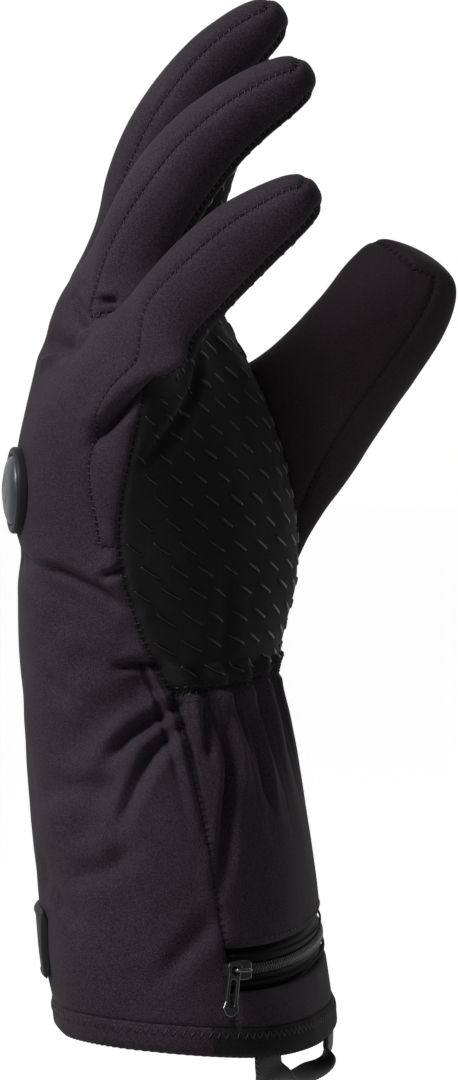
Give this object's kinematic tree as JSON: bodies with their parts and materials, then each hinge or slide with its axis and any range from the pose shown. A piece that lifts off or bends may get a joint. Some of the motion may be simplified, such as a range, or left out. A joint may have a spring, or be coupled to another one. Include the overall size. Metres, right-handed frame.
{
  "type": "heated glove, right hand",
  "caption": "Battery-heated softshell gauntlet glove for the right hand, in its worn shape, with a zipped cuff pocket, power button, back patch and hanging loop.",
  "frame": {"origin": "centre of the cuff's mouth, where the glove is held on the wrist", "axes": "+Z from the cuff's mouth towards the fingertips, +X out of the palm, +Y towards the thumb's side"},
  "size_m": [0.1133, 0.1187, 0.2972],
  "materials": {
    "softshell": "matt, fine weave",
    "palm_cloth": "matt, fine weave",
    "zip_film": "glossy coated tape",
    "zip_coil": "glossy nylon coil",
    "zip_metal": "glossy black",
    "button_rubber": "satin",
    "button_dome": "satin",
    "patch_rubber": "satin",
    "webbing": "woven tape with a slight sheen"
  },
  "bodies": {
    "root": {"back_panel": "softshell", "palm_panel": "palm_cloth", "little_side_panel": "softshell", "ring_side_panel": "softshell", "middle_side_panel": "softshell", "index_side_panel": "softshell", "thumb_inner_panel": "palm_cloth", "thumb_outer_panel": "palm_cloth", "cuff_front_panel": "softshell", "cuff_pocket_panel": "softshell", "hem_band": "softshell", "zip_tape": "zip_film", "zip_chain": "zip_coil", "zip_slider": "zip_metal", "zip_puller": "zip_metal", "power_button_base": "button_rubber", "power_button_dome": "button_dome", "back_patch": "patch_rubber", "hanging_loop": "webbing"}
  },
  "joints": []
}
